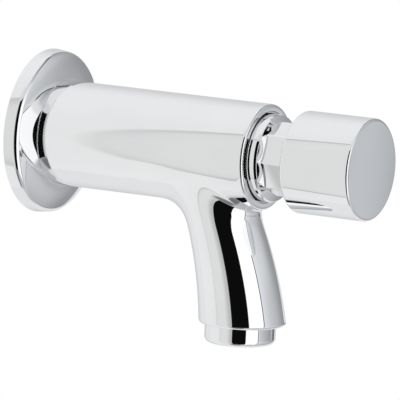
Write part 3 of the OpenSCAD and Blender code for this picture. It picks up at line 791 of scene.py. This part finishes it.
def world_math(operation, *inputs):
    """A Math node, whose inputs are numbers or other nodes' values."""
    node = tree.nodes.new("ShaderNodeMath")
    node.operation = operation
    for socket, value in zip(node.inputs, inputs):
        if isinstance(value, (int, float)):
            socket.default_value = value
        else:
            tree.links.new(value, socket)
    return node.outputs["Value"]


def world_step(source, start, end):
    """Goes smoothly from 0 to 1 between two values."""
    node = tree.nodes.new("ShaderNodeMapRange")
    node.interpolation_type = "SMOOTHSTEP"
    node.inputs["From Min"].default_value, node.inputs["From Max"].default_value = start, end
    tree.links.new(source, node.inputs["Value"])
    return node.outputs["Result"]


def world_mix(share, low, high):
    """Mixes two colours, each a tuple or another node's colour."""
    node = tree.nodes.new("ShaderNodeMix")
    node.data_type = "RGBA"
    tree.links.new(share, node.inputs[MIX_FACTOR])
    for socket, value in ((node.inputs[MIX_LOW], low), (node.inputs[MIX_HIGH], high)):
        if isinstance(value, tuple):
            socket.default_value = (*value, 1)
        else:
            tree.links.new(value, socket)
    return node.outputs[MIX_RESULT]


def world_levels(source, levels):
    """Cool grey levels at given values, with straight lines between them."""
    first, last = levels[0][0], levels[-1][0]
    node = tree.nodes.new("ShaderNodeValToRGB")
    stops = node.color_ramp.elements
    for value, level in levels[1:-1]:
        stops.new((value - first) / (last - first))
    for stop, (value, level) in zip(stops, levels):
        stop.color = (*(level * tint for tint in GREY_TINT), 1)
    share = world_math("DIVIDE", world_math("SUBTRACT", source, first), last - first)
    tree.links.new(share, node.inputs["Fac"])
    return node.outputs["Color"]


def up_to(source, end, soft):
    """1 up to a value and 0 beyond it, with a soft edge."""
    return world_math("SUBTRACT", 1, world_step(source, end - soft, end + soft))


def between(source, start, end, soft):
    """1 between two values and 0 outside them, with soft edges."""
    return world_math("MULTIPLY", world_step(source, start - soft, start + soft),
                      up_to(source, end, soft))


DEGREES = 180 / math.pi
direction = tree.nodes.new("ShaderNodeTexCoord").outputs["Generated"]
split = tree.nodes.new("ShaderNodeSeparateXYZ")
tree.links.new(direction, split.inputs["Vector"])
towards_front = world_math("MULTIPLY", split.outputs["Y"], -1)
round_the_tap = world_math("ARCTAN2", split.outputs["X"], towards_front)
turn = world_math("MULTIPLY", round_the_tap, DEGREES)
rise = world_math("MULTIPLY", world_math("ARCSINE", split.outputs["Z"]), DEGREES)
print("world", world.name)

# %% [markdown]
# The room is laid on in layers, as a painter would. Each layer has a start, an end and a softness
# in turn and in rise, and one colour. The ceiling darkens towards the right.

# %% Pale room
def area(turns, rises):
    """The directions within a range of turn and a range of rise."""
    return world_math("MULTIPLY", between(turn, *turns), between(rise, *rises))


def lay_on(room, layers):
    """Lays areas of one colour over the room."""
    for name, turns, rises, colour in layers:
        room = world_mix(area(turns, rises), room, colour)
        print("laid on", name)
    return room


ROOM_TOP, ROOM_LOW = (0.89, 0.89, 0.895), (0.83, 0.83, 0.84)
PALE_LAYERS = [
    ("left side", (-158, -91.5, 8), (-60, 60, 35), (0.785, 0.785, 0.78)),
    ("round the flag", (-98, -60, 7), (-50, 50, 20), (0.55, 0.555, 0.55)),
    ("far side", (106, 140, 12), (-20, 40, 18), (0.77, 0.77, 0.775)),
    ("behind", (100, 153, 16), (-36, 22, 20), (0.64, 0.642, 0.65)),
    ("ground", (-105, 57, 5), (-76, -46, 5), (0.54, 0.54, 0.545)),
    ("dark ground", (-106, -54, 8), (-78, -50, 4), (0.2, 0.2, 0.205))]
CEILING = [(-90, 0.78), (-60, 0.74), (-24, 0.68), (0, 0.56), (24, 0.42), (48, 0.33), (85, 0.3)]
room = world_mix(world_step(rise, -30, 30), ROOM_LOW, ROOM_TOP)
room = lay_on(room, PALE_LAYERS)
room = world_mix(area((-85, 85, 8), (42, 61, 5)), room, world_levels(turn, CEILING))

# %% [markdown]
# The grey side gets darker with the turn, by one list of levels for each height. Its far end lies
# further off higher up, and its top edge leans, with a dark line along it. Then come a dark line at
# its near end, the white box, and the flag in front of all. The camera itself sees plain white.

# %% Grey side, white box and black flag
DEEP_SHADE = 0.83
LOW_GREY = [(0, 0.84), (10, 0.76), (24, 0.66), (36, 0.61), (48, 0.58), (56, 0.53), (62, 0.45),
            (70, 0.35), (90, 0.3), (122, 0.27)]
DEEP_GREY = [(value, level * DEEP_SHADE) for value, level in LOW_GREY]
LEVEL_GREY = [(0, 0.72), (12, 0.59), (24, 0.5), (36, 0.44), (48, 0.37), (60, 0.28), (74, 0.21),
              (122, 0.2)]
GREY = [(0, 0.84), (10, 0.74), (24, 0.62), (36, 0.57), (48, 0.51), (60, 0.42), (72, 0.345),
        (90, 0.31), (122, 0.27)]
HIGH_GREY = [(0, 0.84), (10, 0.78), (24, 0.71), (36, 0.67), (48, 0.6), (55, 0.54), (63, 0.48),
             (72, 0.42), (90, 0.38), (122, 0.3)]
FRONT_LAYERS = [
    ("dark line", (-0.2, 2.4, 0.7), (-46, 28, 4), (0.1, 0.1, 0.1)),
    ("white box", (-60, -0.5, 1), (-46, 30, 4), (1.15, 1.15, 1.15)),
    ("black flag", (-87, -41.5, 0.6), (-49, 43, 1.5), (0.004, 0.004, 0.004))]
grey_side = world_levels(turn, DEEP_GREY)
for start, end, levels in ((-36, -20, LOW_GREY), (-18, -12, GREY), (8, 18, HIGH_GREY)):
    grey_side = world_mix(world_step(rise, start, end), grey_side, world_levels(turn, levels))
grey_side = world_mix(between(rise, -11.5, -5.5, 1.2), grey_side, world_levels(turn, LEVEL_GREY))
grey_side = world_mix(area((57, 64, 2.5), (-12, -5, 2.5)), grey_side, (0.56, 0.58, 0.6))

far_end = turn
for reach, share in ((28, world_step(rise, -60, -10)), (30, between(rise, 1, 13, 5)),
                     (17, world_step(rise, 12, 18))):
    far_end = world_math("SUBTRACT", far_end, world_math("MULTIPLY", share, reach))
top_end = world_math("ADD", rise, world_math("MULTIPLY", world_step(turn, 8, 62), -16))
grey_area = world_math("MULTIPLY", up_to(far_end, 58, 3), between(top_end, -66, 33, 4))
grey_area = world_math("MULTIPLY", world_step(turn, 0, 6), grey_area)
room = world_mix(grey_area, room, grey_side)
top_line = world_math("MULTIPLY", between(turn, 8, 78, 6), between(top_end, 33, 39, 2))
room = world_mix(top_line, room, (0.12, 0.12, 0.125))
room = lay_on(room, FRONT_LAYERS)
seen = tree.nodes.new("ShaderNodeLightPath").outputs["Is Camera Ray"]
room = world_mix(seen, room, (1.0, 1.0, 1.0))
background = tree.nodes.new("ShaderNodeBackground")
tree.links.new(room, background.inputs["Color"])
world_out = tree.nodes.new("ShaderNodeOutputWorld")
tree.links.new(background.outputs["Background"], world_out.inputs["Surface"])
print("world nodes", len(tree.nodes))

# %% [markdown]
# One tall white board stands near the wall on the left. Its edge, mirrored in the tube, is the soft
# grey tongue along it: rays from higher and lower on the tube run further back before they reach
# the board. It is kept from the camera's own view, so it only shows in the chrome.

# %% White board
BOARD_X, BOARD_EDGE, BOARD_SHADE = -0.2, 0.082, 0.045
BOARD_LENGTH, BOARD_HEIGHT = 1.2, 2.4
BOARD_MIDDLE_Z, BOARD_ENDS_Z = 0.03, 0.33
BOARD_FIRST, BOARD_LAST = (0.785, 0.785, 0.78, 1), (0.88, 0.88, 0.885, 1)
BOARD_MIDDLE = [(0.18, 0.755), (0.23, 0.86)]
BOARD_ENDS = [(0.12, 0.76), (0.165, 0.55), (0.195, 0.5), (0.21, 0.86)]
board_start = BOARD_EDGE - BOARD_SHADE
bpy.ops.object.select_all(action="DESELECT")
bpy.ops.mesh.primitive_plane_add(size=1)
board = bpy.context.object
board.name = "white_board"
bpy.ops.object.mode_set(mode="EDIT")
bpy.ops.transform.rotate(value=math.pi / 2, orient_axis="Y", center_override=(0, 0, 0))
bpy.ops.transform.resize(value=(1, BOARD_LENGTH, BOARD_HEIGHT), center_override=(0, 0, 0))
bpy.ops.transform.translate(value=(BOARD_X, BOARD_LENGTH / 2 + board_start, 0))
bpy.ops.object.mode_set(mode="OBJECT")
board.visible_camera = board.visible_diffuse = board.visible_shadow = False
print(board.name, "starts", round(board_start, 3), "behind the wall's plane")

# %% [markdown]
# The board glows by itself. It has a shaded edge towards the camera with a line behind it, which is
# darker high and low, and the rest is white. One ramp is for the middle and one for the two ends.

# %% Colours of the board
glowing = bpy.data.materials.new("board_white")
glowing.use_nodes = True
nodes, link = glowing.node_tree.nodes, glowing.node_tree.links.new
nodes.clear()
axes = nodes.new("ShaderNodeSeparateXYZ")
link(nodes.new("ShaderNodeTexCoord").outputs["Object"], axes.inputs["Vector"])
along = nodes.new("ShaderNodeMapRange")
along.inputs["From Min"].default_value = board_start
along.inputs["From Max"].default_value = BOARD_EDGE + 4 * BOARD_SHADE
link(axes.outputs["Y"], along.inputs["Value"])
away = nodes.new("ShaderNodeMath")
away.operation = "ABSOLUTE"
link(axes.outputs["Z"], away.inputs[0])
outward = nodes.new("ShaderNodeMapRange")
outward.inputs["From Min"].default_value = BOARD_MIDDLE_Z
outward.inputs["From Max"].default_value = BOARD_ENDS_Z
link(away.outputs["Value"], outward.inputs["Value"])
both = nodes.new("ShaderNodeMix")
both.data_type = "RGBA"
link(outward.outputs["Result"], both.inputs[MIX_FACTOR])
for side, levels in ((MIX_LOW, BOARD_MIDDLE), (MIX_HIGH, BOARD_ENDS)):
    shade = nodes.new("ShaderNodeValToRGB")
    link(along.outputs["Result"], shade.inputs["Fac"])
    stops = shade.color_ramp.elements
    stops[0].color, stops[1].color = BOARD_FIRST, BOARD_LAST
    for position, level in levels:
        stops.new(position).color = (level, level, level, 1)
    link(shade.outputs["Color"], both.inputs[side])
glow = nodes.new("ShaderNodeEmission")
link(both.outputs[MIX_RESULT], glow.inputs["Color"])
out = nodes.new("ShaderNodeOutputMaterial")
link(glow.outputs["Emission"], out.inputs["Surface"])
board.data.materials.append(glowing)
print(glowing.name, "nodes", len(nodes))

# %% [markdown]
# The floor is pale paper some way below the tap. The camera sees it as white, the chrome doesn't
# mirror it, and from its underside it is clear.

# %% Floor
FLOOR_SIZE, FLOOR_Z = 12, -0.26
bpy.ops.object.select_all(action="DESELECT")
bpy.ops.mesh.primitive_plane_add(size=FLOOR_SIZE, location=(0, 0, FLOOR_Z))
bpy.ops.object.transform_apply(location=True, rotation=True, scale=True)
floor = bpy.context.object
floor.name = "studio_floor"
paper = bpy.data.materials.new("pale_paper")
paper.use_nodes = True
nodes, link = paper.node_tree.nodes, paper.node_tree.links.new
paper_shader = nodes["Principled BSDF"]
paper_shader.inputs["Base Color"].default_value = (0.9, 0.9, 0.9, 1)
paper_shader.inputs["Roughness"].default_value = 0.9
white = nodes.new("ShaderNodeEmission")
seen = nodes.new("ShaderNodeLightPath").outputs["Is Camera Ray"]
either = nodes.new("ShaderNodeMixShader")
link(seen, either.inputs["Fac"])
link(paper_shader.outputs["BSDF"], either.inputs[1])
link(white.outputs["Emission"], either.inputs[2])
from_below = nodes.new("ShaderNodeMixShader")
link(nodes.new("ShaderNodeNewGeometry").outputs["Backfacing"], from_below.inputs["Fac"])
link(either.outputs["Shader"], from_below.inputs[1])
link(nodes.new("ShaderNodeBsdfTransparent").outputs["BSDF"], from_below.inputs[2])
link(from_below.outputs["Shader"], nodes["Material Output"].inputs["Surface"])
floor.data.materials.append(paper)
floor.visible_glossy = False
print(floor.name, "at", FLOOR_Z)

# %% [markdown]
# Two soft lamps light the brass, rubber and plastics, which aren't mirrors. The chrome doesn't show
# them.

# %% Lamps
LAMP_SIZE, LAMP_AIM = 0.9, Vector((0, -0.06, -0.02))
LAMPS = [("lamp_left", (-0.9, -0.6, 1.1), 6), ("lamp_right", (0.9, -0.9, 0.9), 4)]
for name, place, power in LAMPS:
    bpy.ops.object.select_all(action="DESELECT")
    bpy.ops.object.light_add(type="AREA", location=place)
    lamp = bpy.context.object
    lamp.name = name
    lamp.data.size, lamp.data.energy = LAMP_SIZE, power
    lamp.rotation_euler = (LAMP_AIM - Vector(place)).to_track_quat("-Z", "Y").to_euler()
    lamp.visible_glossy = False
bpy.context.scene.view_settings.view_transform = "Standard"
print("lamps", len(LAMPS))
